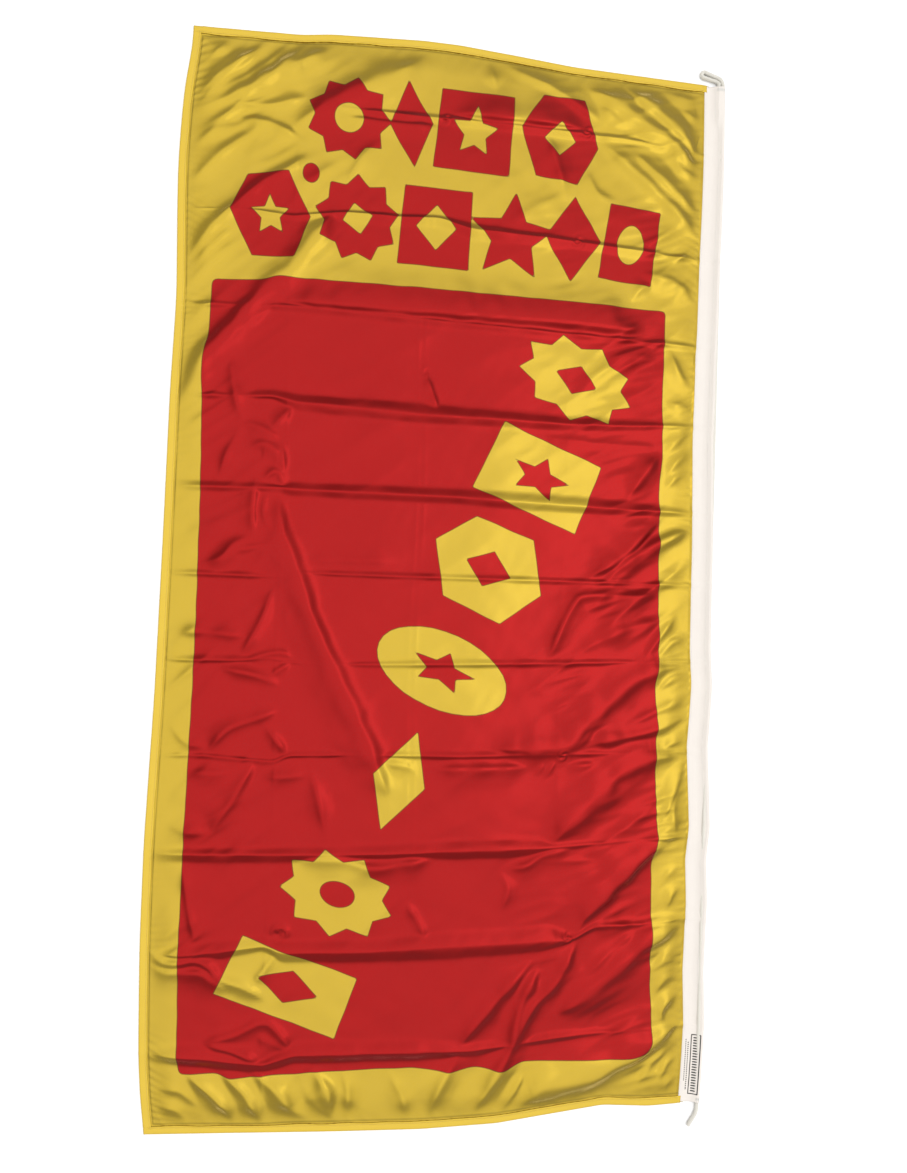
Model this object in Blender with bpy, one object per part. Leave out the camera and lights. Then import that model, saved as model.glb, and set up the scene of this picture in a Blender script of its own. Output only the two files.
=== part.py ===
"""Portrait banner flag with a roped canvas heading, lying flat with its reverse side up.

Frame: metres, +Z up. X runs across the flag from the fly hem (-X) to the heading (+X), Y runs
along the hoist, and the origin is at the middle of the flag's underside.
The cloth swings about the seam that joins it to the heading. The rope runs through the heading,
makes a sewn-in loop at the top end and leaves the bottom end as a short tail.
"""

import math

import bmesh
import bpy
from mathutils import Vector

# Driving dimensions, in metres.
FLAG_LENGTH = 1.800
FLAG_WIDTH = 0.925
HEADING_WIDTH = 0.037
CLOTH_THICKNESS = 0.0006
HEM_WIDTH = 0.012
HEM_THICKNESS = 0.0014
HEADING_SHORTFALL = 0.0015
CANVAS = 0.0005
CLOTH_POCKET = 0.0003
ROPE_DIAMETER = 0.007
THREAD_DIAMETER = 0.0008
CLEARANCE = 0.0003
SWING_GAP = 0.0012

# Places that follow from them.
FLY_X = -FLAG_WIDTH / 2
OUTER_X = FLAG_WIDTH / 2
SEAM_X = OUTER_X - HEADING_WIDTH
HALF_LENGTH = FLAG_LENGTH / 2
HEADING_END = HALF_LENGTH - HEADING_SHORTFALL
SEAM_Z = HEM_THICKNESS / 2
TUNNEL_RADIUS = ROPE_DIAMETER / 2 + CLEARANCE
ROPE_X = OUTER_X - TUNNEL_RADIUS - CANVAS
ROPE_Z = TUNNEL_RADIUS + CANVAS
LEG_SPACING = ROPE_DIAMETER + CLEARANCE
RETURN_X = ROPE_X - LEG_SPACING
RETURN_LENGTH = 0.040
FLAP_TOP_Z = 2 * CANVAS + CLOTH_POCKET

# The tunnel is two ropes wide over the sewn-back end and one rope wide below it.
DOUBLE_TUNNEL_LENGTH = 0.050
TUNNEL_TAPER = 0.030
# Level step over the single rope, so that both ends of the tunnel's loft have the same corners.
LEAST_FLAT = 0.0002

# Free rope: the loop's standing leg and return leg lie side by side and bend towards the fly.
LOOP_REACH = (0.0, 0.006, 0.012, 0.018, 0.024, 0.030, 0.036, 0.042)
LOOP_TURN_START = 0.005
LOOP_TURN_RADIUS = 0.009
LOOP_TURN_ANGLE = math.radians(76)
LOOP_EYE_WIDENING = 0.0014
TAIL_ROUTE = (
    (0.0000, 0.0000, 0.0000),
    (0.0002, -0.0070, -0.0002),
    (-0.0004, -0.0140, -0.0006),
    (-0.0030, -0.0210, -0.0007),
    (-0.0072, -0.0275, -0.0007),
    (-0.0112, -0.0335, -0.0007),
    (-0.0148, -0.0395, -0.0007),
)

# Sewing.
HEM_ROW_INSET = 0.0095
HEADING_ROW_INSET = 0.003
TUNNEL_ROW_GAP = 0.002
ROW_END_INSET = 0.004
TACK_LENGTH = 0.004
TACK_HEIGHT = 0.0009
TACK_FROM_END = 0.006

YELLOW = (0.68, 0.50, 0.06)
CANVAS_WHITE = (0.86, 0.84, 0.80)
ROPE_WHITE = (0.84, 0.81, 0.72)
THREAD_YELLOW = (0.74, 0.56, 0.10)
THREAD_WHITE = (0.90, 0.89, 0.86)


def clear_scene():
    for item in list(bpy.data.objects):
        bpy.data.objects.remove(item, do_unlink=True)


def new_collection(name):
    collection = bpy.data.collections.new(name)
    bpy.context.scene.collection.children.link(collection)
    return collection


def make_material(name, colour, roughness):
    material = bpy.data.materials.new(name)
    material.use_nodes = True
    shader = material.node_tree.nodes["Principled BSDF"]
    shader.inputs["Base Color"].default_value = (*colour, 1.0)
    shader.inputs["Roughness"].default_value = roughness
    shader.inputs["Metallic"].default_value = 0.0
    return material


def add_object(name, data, parent, material, collection):
    """Put finished world-space geometry under its body's empty, so that it turns about the hinge."""
    part = bpy.data.objects.new(name, data)
    part.data.materials.append(material)
    part.parent = parent
    part.location = -parent.location
    collection.objects.link(part)
    return part


def hinge_empty(name, location, collection):
    empty = bpy.data.objects.new(name, None)
    empty.empty_display_size = 0.05
    empty.location = location
    collection.objects.link(empty)
    return empty


def box_mesh(name, low, high, bevel=0.0):
    """A box between two corners, with its upright and level edges eased by the bevel."""
    mesh = bpy.data.meshes.new(name)
    form = bmesh.new()
    bmesh.ops.create_cube(form, size=1.0)
    size = Vector(high) - Vector(low)
    middle = (Vector(high) + Vector(low)) / 2
    bmesh.ops.scale(form, vec=size, verts=form.verts)
    bmesh.ops.translate(form, vec=middle, verts=form.verts)
    if bevel > 0:
        bmesh.ops.bevel(form, geom=form.edges[:], offset=bevel, segments=2, affect="EDGES")
    form.to_mesh(mesh)
    form.free()
    return mesh


def tube_curve(name, points, diameter, sides_resolution=2):
    """A rope or thread: a bevelled POLY spline with filled caps."""
    curve = bpy.data.curves.new(name, "CURVE")
    curve.dimensions = "3D"
    curve.bevel_depth = diameter / 2
    curve.bevel_resolution = sides_resolution
    curve.use_fill_caps = True
    spline = curve.splines.new("POLY")
    spline.points.add(len(points) - 1)
    for target, point in zip(spline.points, points):
        target.co = (*point, 1.0)
    return curve


def smooth_route(points, step):
    """Catmull-Rom curve through the points, read every step metres."""
    padded = [points[0] * 2 - points[1], *points, points[-1] * 2 - points[-2]]
    fine = []
    for index in range(len(points) - 1):
        before, start, end, after = padded[index:index + 4]
        for part in range(20):
            t = part / 20
            fine.append(
                0.5 * (
                    2 * start
                    + (end - before) * t
                    + (2 * before - 5 * start + 4 * end - after) * t ** 2
                    + (3 * start - before - 3 * end + after) * t ** 3
                )
            )
    fine.append(points[-1])
    total = sum((b - a).length for a, b in zip(fine, fine[1:]))
    count = max(2, round(total / step))
    route = [fine[0]]
    walked = 0.0
    for a, b in zip(fine, fine[1:]):
        walked += (b - a).length
        if walked >= len(route) * total / count - 1e-9 and len(route) < count:
            route.append(b)
    route.append(fine[-1])
    return route


def cloth_mesh():
    """The flag's cloth: one sheet with a turned hem raised on its top face on three sides."""
    hoist_x = SEAM_X - CLEARANCE
    mesh = bpy.data.meshes.new("flag_cloth")
    form = bmesh.new()
    bmesh.ops.create_cube(form, size=1.0)
    bmesh.ops.scale(form, vec=(hoist_x - FLY_X, FLAG_LENGTH, CLOTH_THICKNESS), verts=form.verts)
    bmesh.ops.translate(form, vec=((hoist_x + FLY_X) / 2, 0, CLOTH_THICKNESS / 2), verts=form.verts)
    hem_lines = (
        ((FLY_X + HEM_WIDTH, 0, 0), (1, 0, 0)),
        ((0, HALF_LENGTH - HEM_WIDTH, 0), (0, 1, 0)),
        ((0, HEM_WIDTH - HALF_LENGTH, 0), (0, 1, 0)),
    )
    for point, normal in hem_lines:
        geometry = form.verts[:] + form.edges[:] + form.faces[:]
        bmesh.ops.bisect_plane(form, geom=geometry, plane_co=point, plane_no=normal)
    hem_faces = []
    for face in form.faces:
        middle = face.calc_center_median()
        over_fly = middle.x < FLY_X + HEM_WIDTH
        over_end = abs(middle.y) > HALF_LENGTH - HEM_WIDTH
        if face.normal.z > 0.5 and (over_fly or over_end):
            hem_faces.append(face)
    raised = bmesh.ops.extrude_face_region(form, geom=hem_faces)
    bmesh.ops.delete(form, geom=hem_faces, context="FACES_ONLY")
    moved = [item for item in raised["geom"] if isinstance(item, bmesh.types.BMVert)]
    bmesh.ops.translate(form, vec=(0, 0, HEM_THICKNESS - CLOTH_THICKNESS), verts=moved)
    bmesh.ops.recalc_face_normals(form, faces=form.faces)
    form.to_mesh(mesh)
    form.free()
    return mesh


def heading_section(extra_width):
    """The folded canvas in the XZ plane: two flat flaps that open into the rope tunnel."""
    inner_x = SEAM_X + SWING_GAP
    left_x = ROPE_X - extra_width
    neck_x = left_x - TUNNEL_RADIUS - 2 * CANVAS
    ceiling = CANVAS + CLOTH_POCKET
    inside = [(inner_x, CANVAS), (neck_x, CANVAS)]
    outside = [(inner_x, 0.0), (neck_x, 0.0)]
    right_side = [(ROPE_X, angle) for angle in range(-90, 91, 18)]
    left_shoulder = [(left_x - LEAST_FLAT, angle) for angle in range(90, 151, 15)]
    for centre_x, degrees in right_side + left_shoulder:
        across = math.cos(math.radians(degrees))
        up = math.sin(math.radians(degrees))
        for ring, reach in ((inside, TUNNEL_RADIUS), (outside, TUNNEL_RADIUS + CANVAS)):
            ring.append((centre_x + reach * across, ROPE_Z + reach * up))
    inside += [(neck_x, ceiling), (inner_x, ceiling)]
    outside += [(neck_x - CANVAS, ceiling + CANVAS), (inner_x, ceiling + CANVAS)]
    return inside, outside


def heading_mesh():
    """Loft of the folded canvas from the bottom end to the top end, open at both ends."""
    narrow = heading_section(0.0)
    wide = heading_section(LEG_SPACING)
    taper_end = HEADING_END - DOUBLE_TUNNEL_LENGTH
    stations = (
        (-HEADING_END, narrow),
        (taper_end - TUNNEL_TAPER, narrow),
        (taper_end, wide),
        (HEADING_END, wide),
    )
    mesh = bpy.data.meshes.new("heading_tape")
    form = bmesh.new()
    rings = []
    for y, (inside, outside) in stations:
        inner_row = [form.verts.new((x, y, z)) for x, z in inside]
        outer_row = [form.verts.new((x, y, z)) for x, z in outside]
        rings.append((inner_row, outer_row))
    count = len(narrow[0])
    for (inner_a, outer_a), (inner_b, outer_b) in zip(rings, rings[1:]):
        for i in range(count - 1):
            form.faces.new((inner_a[i], inner_a[i + 1], inner_b[i + 1], inner_b[i]))
            form.faces.new((outer_a[i], outer_b[i], outer_b[i + 1], outer_a[i + 1]))
        for i in (0, count - 1):
            form.faces.new((inner_a[i], inner_b[i], outer_b[i], outer_a[i]))
    for inner_row, outer_row in (rings[0], rings[-1]):
        for i in range(count - 1):
            form.faces.new((inner_row[i], inner_row[i + 1], outer_row[i + 1], outer_row[i]))
    bmesh.ops.recalc_face_normals(form, faces=form.faces)
    form.to_mesh(mesh)
    form.free()
    return mesh


def loop_centre_line(along):
    """Point and heading of the loop's middle line: straight out, then a turn towards the fly."""
    if along <= LOOP_TURN_START:
        return Vector((0.0, along, 0.0)), math.radians(90)
    turned = min((along - LOOP_TURN_START) / LOOP_TURN_RADIUS, LOOP_TURN_ANGLE)
    heading = math.radians(90) + turned
    centre = Vector((-LOOP_TURN_RADIUS, LOOP_TURN_START, 0.0))
    point = centre + LOOP_TURN_RADIUS * Vector((math.cos(turned), math.sin(turned), 0.0))
    rest = along - LOOP_TURN_START - LOOP_TURN_RADIUS * turned
    return point + rest * Vector((math.cos(heading), math.sin(heading), 0.0)), heading


def loop_route():
    """Standing leg out, a round turn at the end, and the return leg back to the heading."""
    mouth = Vector(((ROPE_X + RETURN_X) / 2, HEADING_END + CLEARANCE, ROPE_Z))
    outer_leg = []
    inner_leg = []
    for along in LOOP_REACH:
        point, heading = loop_centre_line(along)
        across = Vector((math.sin(heading), -math.cos(heading), 0.0))
        half = LEG_SPACING / 2 + LOOP_EYE_WIDENING * (along / LOOP_REACH[-1]) ** 2
        settle = Vector((0, 0, -0.0006 * min(1.0, along / 0.012)))
        outer_leg.append(mouth + point + across * half + settle)
        inner_leg.append(mouth + point - across * half + settle)
    end, heading = loop_centre_line(LOOP_REACH[-1])
    across = Vector((math.sin(heading), -math.cos(heading), 0.0))
    forward = Vector((math.cos(heading), math.sin(heading), 0.0))
    half = LEG_SPACING / 2 + LOOP_EYE_WIDENING
    turn = []
    for degrees in (30, 60, 90, 120, 150):
        angle = math.radians(degrees)
        offset = across * half * math.cos(angle) + forward * half * math.sin(angle)
        turn.append(mouth + end + offset + Vector((0, 0, -0.0006)))
    return outer_leg + turn + inner_leg[::-1]


def tail_route():
    mouth = Vector((ROPE_X, -HEADING_END - CLEARANCE, ROPE_Z))
    return [mouth + Vector(point) for point in TAIL_ROUTE]


def thread_row(name, start, end):
    """One line of stitching, laid along the cloth as a single closed thread."""
    points = [Vector(start).lerp(Vector(end), step / 6) for step in range(7)]
    return tube_curve(name, points, THREAD_DIAMETER)


def tack_mesh(name, y, left_x):
    """A dense bar tack across the tunnel, holding the rope in the canvas."""
    low_z = ROPE_Z + TUNNEL_RADIUS + CANVAS + CLEARANCE
    low = (left_x, y - TACK_LENGTH / 2, low_z)
    high = (ROPE_X + 0.001, y + TACK_LENGTH / 2, low_z + TACK_HEIGHT)
    return box_mesh(name, low, high, bevel=0.0003)


def build():
    clear_scene()
    parts = new_collection("banner_flag")
    cloth = make_material("yellow_polyester", YELLOW, 0.45)
    canvas = make_material("white_canvas", CANVAS_WHITE, 0.85)
    rope = make_material("white_rope", ROPE_WHITE, 0.8)
    cloth_thread = make_material("yellow_thread", THREAD_YELLOW, 0.5)
    canvas_thread = make_material("white_thread", THREAD_WHITE, 0.6)

    heading = hinge_empty("heading_body", (0, 0, 0), parts)
    banner = hinge_empty("banner_body", (SEAM_X, 0, SEAM_Z), parts)

    add_object("flag_cloth", cloth_mesh(), banner, cloth, parts)
    hem_z = HEM_THICKNESS + CLEARANCE + THREAD_DIAMETER / 2
    fly_row_x = FLY_X + HEM_ROW_INSET
    hoist_row_end = SEAM_X - ROW_END_INSET
    end_row_y = HALF_LENGTH - HEM_ROW_INSET
    hem_rows = {
        "top_hem_thread": ((fly_row_x + ROW_END_INSET, end_row_y, hem_z), (hoist_row_end, end_row_y, hem_z)),
        "bottom_hem_thread": (
            (fly_row_x + ROW_END_INSET, -end_row_y, hem_z),
            (hoist_row_end, -end_row_y, hem_z),
        ),
        "fly_hem_thread": (
            (fly_row_x, -end_row_y, hem_z),
            (fly_row_x, end_row_y, hem_z),
        ),
    }
    for name, (start, end) in hem_rows.items():
        add_object(name, thread_row(name, start, end), banner, cloth_thread, parts)

    add_object("heading_tape", heading_mesh(), heading, canvas, parts)
    flap_z = FLAP_TOP_Z + CLEARANCE + THREAD_DIAMETER / 2
    row_end = HEADING_END - ROW_END_INSET
    seam_row_x = SEAM_X + HEADING_ROW_INSET
    tunnel_row_x = RETURN_X - TUNNEL_RADIUS - 2 * CANVAS - TUNNEL_ROW_GAP
    heading_rows = {"seam_thread": seam_row_x, "tunnel_thread": tunnel_row_x}
    for name, x in heading_rows.items():
        row = thread_row(name, (x, -row_end, flap_z), (x, row_end, flap_z))
        add_object(name, row, heading, canvas_thread, parts)
    tack_y = HEADING_END - TACK_FROM_END
    add_object("top_tack", tack_mesh("top_tack", tack_y, RETURN_X - 0.001), heading, canvas_thread, parts)
    bottom_tack_mesh = tack_mesh("bottom_tack", -tack_y, ROPE_X - 0.001)
    add_object("bottom_tack", bottom_tack_mesh, heading, canvas_thread, parts)

    core = [Vector((ROPE_X, y, ROPE_Z)) for y in (-HEADING_END, 0.0, HEADING_END)]
    add_object("hoist_rope", tube_curve("hoist_rope", core, ROPE_DIAMETER, 3), heading, rope, parts)
    fold = [Vector((RETURN_X, HEADING_END - d, ROPE_Z)) for d in (0.0, RETURN_LENGTH)]
    add_object("rope_return_end", tube_curve("rope_return_end", fold, ROPE_DIAMETER, 3), heading, rope, parts)
    for name, route in (("rope_loop", loop_route()), ("rope_tail", tail_route())):
        tube = tube_curve(name, smooth_route(route, ROPE_DIAMETER / 2), ROPE_DIAMETER, 3)
        add_object(name, tube, heading, rope, parts)


build()
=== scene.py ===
"""Looks of the roped banner flag: satin cloth with storage creases and drag folds, turned hems,
rows of stitches, a canvas heading and a braided rope."""

import math

import bpy
import numpy as np
from mathutils import Euler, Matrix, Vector


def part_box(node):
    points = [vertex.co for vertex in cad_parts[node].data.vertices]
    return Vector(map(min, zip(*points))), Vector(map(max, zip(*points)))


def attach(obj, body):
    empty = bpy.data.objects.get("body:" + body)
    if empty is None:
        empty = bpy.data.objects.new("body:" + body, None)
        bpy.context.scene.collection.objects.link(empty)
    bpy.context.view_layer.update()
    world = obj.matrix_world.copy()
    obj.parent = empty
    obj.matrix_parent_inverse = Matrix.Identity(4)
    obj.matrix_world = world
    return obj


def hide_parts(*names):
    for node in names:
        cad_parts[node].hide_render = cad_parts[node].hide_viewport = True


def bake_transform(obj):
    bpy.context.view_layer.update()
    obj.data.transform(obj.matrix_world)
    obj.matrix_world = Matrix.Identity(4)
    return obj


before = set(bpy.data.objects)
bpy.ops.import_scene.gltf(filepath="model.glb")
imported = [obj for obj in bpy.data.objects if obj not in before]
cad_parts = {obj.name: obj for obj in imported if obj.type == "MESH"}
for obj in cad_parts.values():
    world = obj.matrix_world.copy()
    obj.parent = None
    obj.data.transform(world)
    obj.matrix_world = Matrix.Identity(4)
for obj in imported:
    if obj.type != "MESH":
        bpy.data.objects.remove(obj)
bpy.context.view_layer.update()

# Lengths on the cloth are in millimetres, because they are a tailor's sizes.
MM = 0.001
CLOTH_LOW, CLOTH_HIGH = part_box("flag_cloth")
_, TAPE_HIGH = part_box("heading_tape")
CORE_LOW, CORE_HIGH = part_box("hoist_rope")
FLY = CLOTH_LOW[0] / MM
SEAM = CLOTH_HIGH[0] / MM
HALF = CLOTH_HIGH[1] / MM
HEADING_HALF = TAPE_HIGH[1] / MM
HEM = 12.0
HEM_ROW = 9.6
SEAM_ALLOWANCE = 9.0
FLOOR_GAP = 0.6

# ------------------------------------------------------------------ camera

# In metres, degrees and millimetres.
CAMERA_PLACE = (-0.2026, -0.0477, 1.4309)
CAMERA_TURN = (1.086, -8.12, 1.91)
CAMERA_LENS = 26.09
SENSOR_HEIGHT = 36.0

camera_data = bpy.data.cameras.new("camera")
camera_data.sensor_fit = "VERTICAL"
camera_data.sensor_height = SENSOR_HEIGHT
camera_data.lens = CAMERA_LENS
camera = bpy.data.objects.new("camera", camera_data)
camera.location = CAMERA_PLACE
camera.rotation_euler = Euler([math.radians(angle) for angle in CAMERA_TURN], "XYZ")
bpy.context.scene.collection.objects.link(camera)
bpy.context.scene.camera = camera
bpy.context.scene.view_settings.view_transform = "Standard"


# ------------------------------------------------------------------ mesh helpers

def new_piece(name, vertices, faces, material):
    mesh = bpy.data.meshes.new(name)
    mesh.from_pydata(np.asarray(vertices).tolist(), [], faces)
    mesh.materials.append(material)
    mesh.shade_smooth()
    piece = bpy.data.objects.new(name, mesh)
    bpy.context.scene.collection.objects.link(piece)
    return piece


def grid_faces(rows, columns, closed=False):
    """Quads of a rows x columns grid of vertices, joined round its columns if it is closed."""
    spans = columns if closed else columns - 1
    row, column = np.meshgrid(np.arange(rows - 1), np.arange(spans), indexing="ij")
    here = row * columns + column
    beside = row * columns + (column + 1) % columns
    quads = np.stack([here, beside, beside + columns, here + columns], axis=-1)
    return quads.reshape(-1, 4).tolist()


def tube(rings):
    """Vertices and faces of a closed tube through rings of shape (count, sides, 3)."""
    count, sides, _ = rings.shape
    ends = [rings[0].mean(axis=0), rings[-1].mean(axis=0)]
    vertices = np.concatenate([rings.reshape(-1, 3), ends])
    faces = grid_faces(count, sides, closed=True)
    first_end = count * sides
    last_ring = (count - 1) * sides
    for side in range(sides):
        after = (side + 1) % sides
        faces.append([first_end, after, side])
        faces.append([first_end + 1, last_ring + side, last_ring + after])
    return vertices, faces


def joined(name, tubes, material):
    """One piece made of several closed tubes."""
    vertices = []
    faces = []
    start = 0
    for part_vertices, part_faces in tubes:
        vertices.append(part_vertices)
        faces += [[index + start for index in face] for face in part_faces]
        start += len(part_vertices)
    return new_piece(name, np.concatenate(vertices), faces, material)


def smooth_between(points, at, softness):
    """Value at each place, read off straight runs between (place, value) points, then softened."""
    places, values = zip(*points)
    fine = np.linspace(places[0] - 60, places[-1] + 60, 1600)
    line = np.interp(fine, places, values)
    step = fine[1] - fine[0]
    reach = int(3 * softness / step) + 1
    weights = np.exp(-0.5 * (np.arange(-reach, reach + 1) * step / softness) ** 2)
    padded = np.pad(line, reach, mode="edge")
    return np.interp(at, fine, np.convolve(padded, weights / weights.sum(), mode="valid"))


def ripples(x, y, wavelength, direction, spread, seed, waves=7):
    """Irregular waves from -1 to 1 that run across a direction, given in degrees."""
    draw = np.random.default_rng(seed)
    total = np.zeros_like(x)
    for _ in range(waves):
        angle = math.radians(direction + draw.uniform(-spread, spread))
        length = wavelength * draw.uniform(0.7, 1.5)
        phase = draw.uniform(0, 2 * math.pi)
        total += np.sin(2 * math.pi * (x * math.cos(angle) + y * math.sin(angle)) / length + phase)
    return total / math.sqrt(waves) / 1.4


def fade(value, start, end):
    t = np.clip((value - start) / (end - start), 0, 1)
    return t * t * (3 - 2 * t)


# ------------------------------------------------------------------ how the flag lies

# Storage creases, bottom to top: place on the flat cloth, then (x, y, upper flank, lower flank) along each.
BOTTOM_EDGE = ((-467, -905), (-360, -909), (-175, -916), (-26, -920), (103, -917), (204, -905), (289, -895),
               (370, -901), (426, -899), (470, -898))
TOP_EDGE = ((-462, 894), (-285, 901), (-237, 908), (-82, 917), (-19, 917), (80, 911), (184, 904), (426, 901),
            (470, 900))
CREASES = (
    (-770, ((-470, -778, 10, 10), (-380, -786, 22, 14), (-340, -793, 12, 14), (-286, -801, 4, 14),
            (-240, -786, 18, 14), (-35, -789, 16, 14), (51, -791, 10, 10), (134, -785, 6, 6),
            (200, -776, 8, 7), (267, -771, 6, 8), (370, -768, 6, 8), (435, -764, 4, 4))),
    (-612, ((-462, -620, 0, 0), (-428, -622, 14, 10), (-360, -616, 14, 12), (-290, -609, 14, 6),
            (-268, -620, 16, 16), (-120, -622, 17, 19), (0, -617, 20, 22), (110, -614, 20, 20),
            (180, -611, 22, 16), (225, -610, 6, 4), (262, -590, 6, 6), (366, -586, 9, 8), (430, -578, 6, 6))),
    (-455, ((-475, -460, 8, 12), (-300, -462, 9, 14), (-180, -463, 12, 10), (-60, -461, 14, 10),
            (0, -458, 15, 14), (150, -455, 15, 14), (182, -454, 8, 8), (250, -449, 4, 4), (360, -441, 6, 5),
            (434, -437, 4, 4))),
    (-300, ((-462, -302, 4, 4), (-400, -302, 3, 5), (-286, -312, 2, 7), (-268, -301, 6, 3),
            (-150, -299, 7, 4), (21, -300, 8, 6), (200, -295, 7, 7), (300, -292, 5, 5), (426, -289, 4, 4))),
    (-145, ((-466, -148, 7, 4), (-350, -146, 7, 4), (-300, -142, 3, 3), (-255, -149, 4, 4),
            (-200, -150, 2, 4), (-100, -148, 5, 5), (16, -145, 9, 5), (171, -140, 6, 5), (330, -134, 6, 4),
            (423, -130, 4, 4))),
    (0, ((-464, -7, 6, 5), (-290, -8, 5, 4), (-249, 0, 5, 3), (-100, 0, 6, 4), (160, 2, 5, 5),
         (425, 3, 5, 5))),
    (137, ((-466, 134, 9, 8), (-330, 137, 8, 6), (-292, 139, 3, 8), (-280, 137, 12, 11), (0, 138, 14, 11),
           (120, 135, 15, 12), (224, 133, 14, 10), (300, 131, 14, 9), (360, 131, 8, 7), (423, 131, 6, 6))),
    (280, ((-468, 283, 5, 5), (-380, 286, 6, 5), (-310, 290, 10, 3), (-272, 281, 14, 13), (-200, 279, 14, 14),
           (-60, 274, 20, 13), (60, 275, 15, 12), (185, 274, 12, 10), (300, 278, 9, 8), (360, 282, 5, 5),
           (419, 283, 6, 6))),
    (436, ((-459, 432, 4, 4), (-350, 438, 6, 6), (-283, 441, 7, 8), (-48, 436, 7, 9), (100, 433, 7, 7),
           (215, 431, 6, 7), (345, 428, 6, 6), (421, 427, 5, 5))),
    (600, ((-461, 590, 0, 0), (-361, 597, 3, 6), (-290, 592, 3, 5), (-206, 607, 3, 12), (-117, 608, 4, 13),
           (-44, 612, 4, 12), (10, 598, 10, 14), (138, 596, 6, 12), (205, 594, 5, 9), (319, 588, 5, 9),
           (418, 583, 5, 5))),
    (775, ((-461, 775, 0, 0), (-285, 776, 0, 0), (-235, 782, 7, 8), (-121, 783, 6, 12), (-50, 785, 5, 6),
           (0, 786, 9, 9), (84, 786, 10, 8), (184, 786, 10, 9), (230, 785, 6, 6), (310, 783, 5, 5),
           (355, 776, 4, 3), (426, 773, 3, 3))),
)
# How far the fly edge bows and the heading sways to one side: (place along the flag, shift).
FLY_BOW = ((-905, -5), (-850, -14), (-773, -20), (-600, -25), (-439, -25), (-200, -18), (48, -15), (298, -13),
           (450, -9), (587, -13), (665, -15), (728, -13), (800, -9), (860, 0), (894, 1))
HEADING_SWAY = ((-900, 0), (-765, 6), (-690, 2), (-590, 5), (-500, 1), (-440, 7), (-290, -1), (-185, 4),
                (-120, 0), (30, -1), (135, -2), (250, -5), (415, -4), (460, -2), (586, -1), (767, 2),
                (900, 0))

ROW_PLACES = [-HALF] + [place for place, _ in CREASES] + [HALF]
ROW_LINES = [BOTTOM_EDGE] + [[point[:2] for point in line] for _, line in CREASES] + [TOP_EDGE]


def row_line(index, x):
    return smooth_between(ROW_LINES[index], x, 7.0)


def lay(u, v):
    """Where a point of the flat cloth, u across and v along, lies on the floor."""
    u, v = np.broadcast_arrays(np.asarray(u, float), np.asarray(v, float))
    share = np.clip((u - FLY) / (SEAM - FLY), 0, None)
    near_heading = np.exp(-np.clip(SEAM - u, 0, None) / 40.0)
    sharp_sway = smooth_between(HEADING_SWAY, v, 5.0)
    soft_sway = smooth_between(HEADING_SWAY, v, 60.0)
    sway = soft_sway + (sharp_sway - soft_sway) * near_heading
    bow = smooth_between(FLY_BOW, v, 25.0)
    x = u + sway * share + bow * (1 - np.clip(share, 0, 1))
    y = np.zeros_like(x)
    section = np.clip(np.searchsorted(ROW_PLACES, v, side="right") - 1, 0, len(ROW_PLACES) - 2)
    for index in range(len(ROW_PLACES) - 1):
        here = section == index
        if here.any():
            low, high = ROW_PLACES[index], ROW_PLACES[index + 1]
            part = (v[here] - low) / (high - low)
            y[here] = row_line(index, x[here]) * (1 - part) + row_line(index + 1, x[here]) * part
    return x, y


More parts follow.
